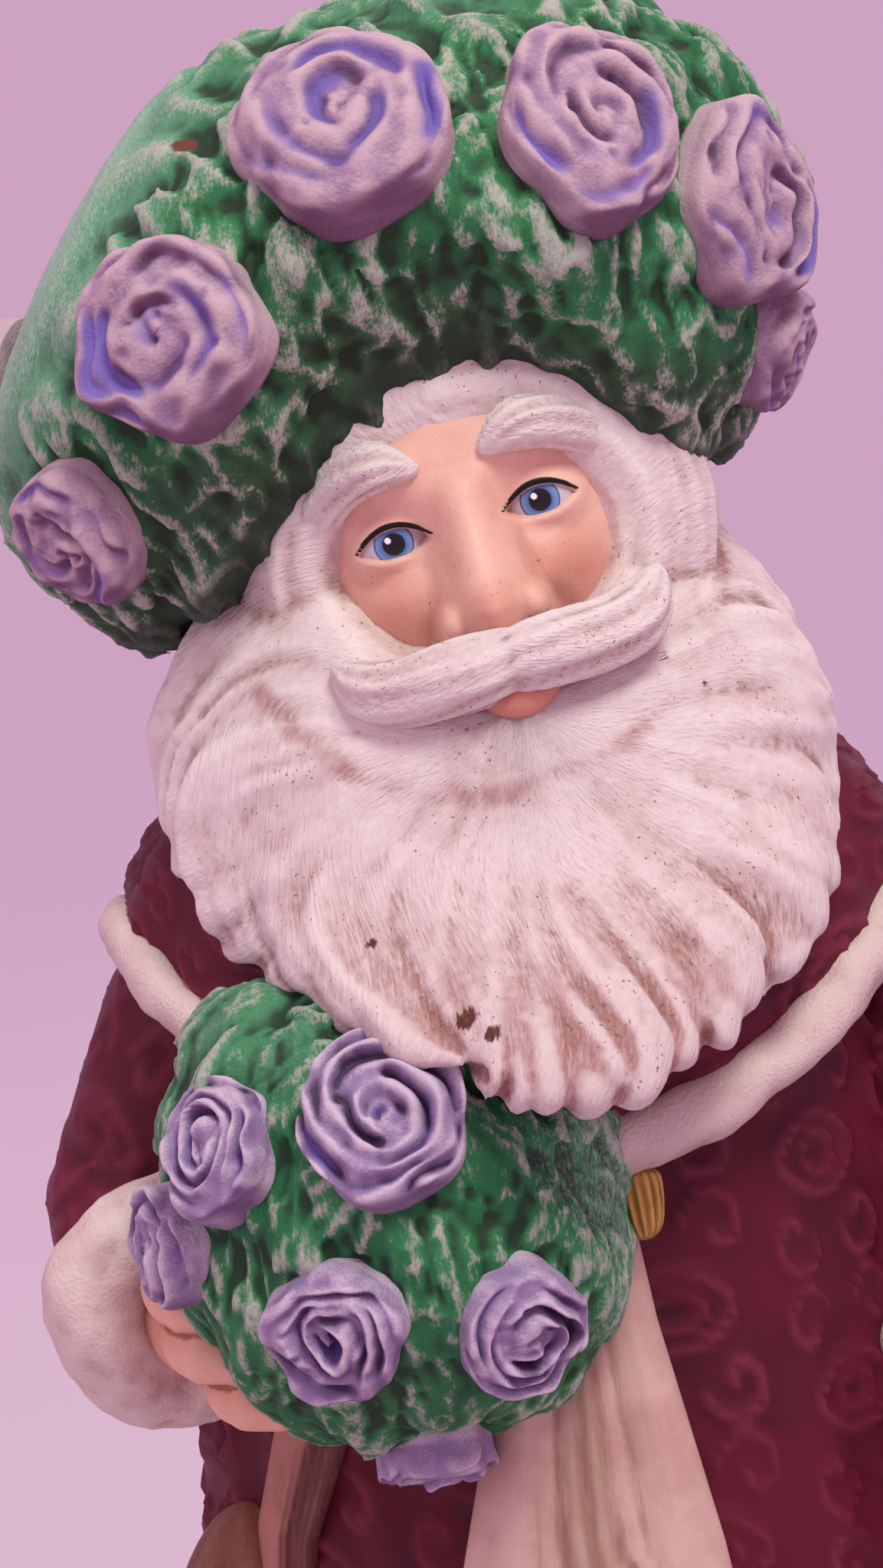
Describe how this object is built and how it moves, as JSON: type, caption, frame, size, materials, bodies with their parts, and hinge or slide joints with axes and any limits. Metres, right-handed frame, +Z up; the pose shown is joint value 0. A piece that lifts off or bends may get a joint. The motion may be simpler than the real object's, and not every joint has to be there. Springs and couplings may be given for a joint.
{
  "type": "ceramic figurine of a robed bearded man",
  "caption": "Painted slip-cast figurine of a robed, bearded old man under a leafy hat with roses, holding a leafy ball, on a low oval base.",
  "frame": {"origin": "middle of the flat underside of the oval base", "axes": "+Z up, the figure looks along -Y, +X is the viewer's right when the figure is seen from the front"},
  "size_m": [0.1336, 0.1284, 0.3302],
  "materials": {
    "robe_maroon": "matt acrylic paint on ceramic",
    "foliage_green": "matt acrylic paint, dry-brushed",
    "rose_lilac": "matt acrylic paint, dry-brushed",
    "beard_white": "matt acrylic paint with a brown wash",
    "flesh": "matt acrylic paint with a brown wash",
    "trim_white": "matt acrylic paint",
    "gold": "dull gold paint",
    "sack_brown": "matt acrylic paint",
    "eye_enamel": "gloss-varnished paint"
  },
  "bodies": {
    "root": {"figurine": "robe_maroon"}
  },
  "joints": []
}
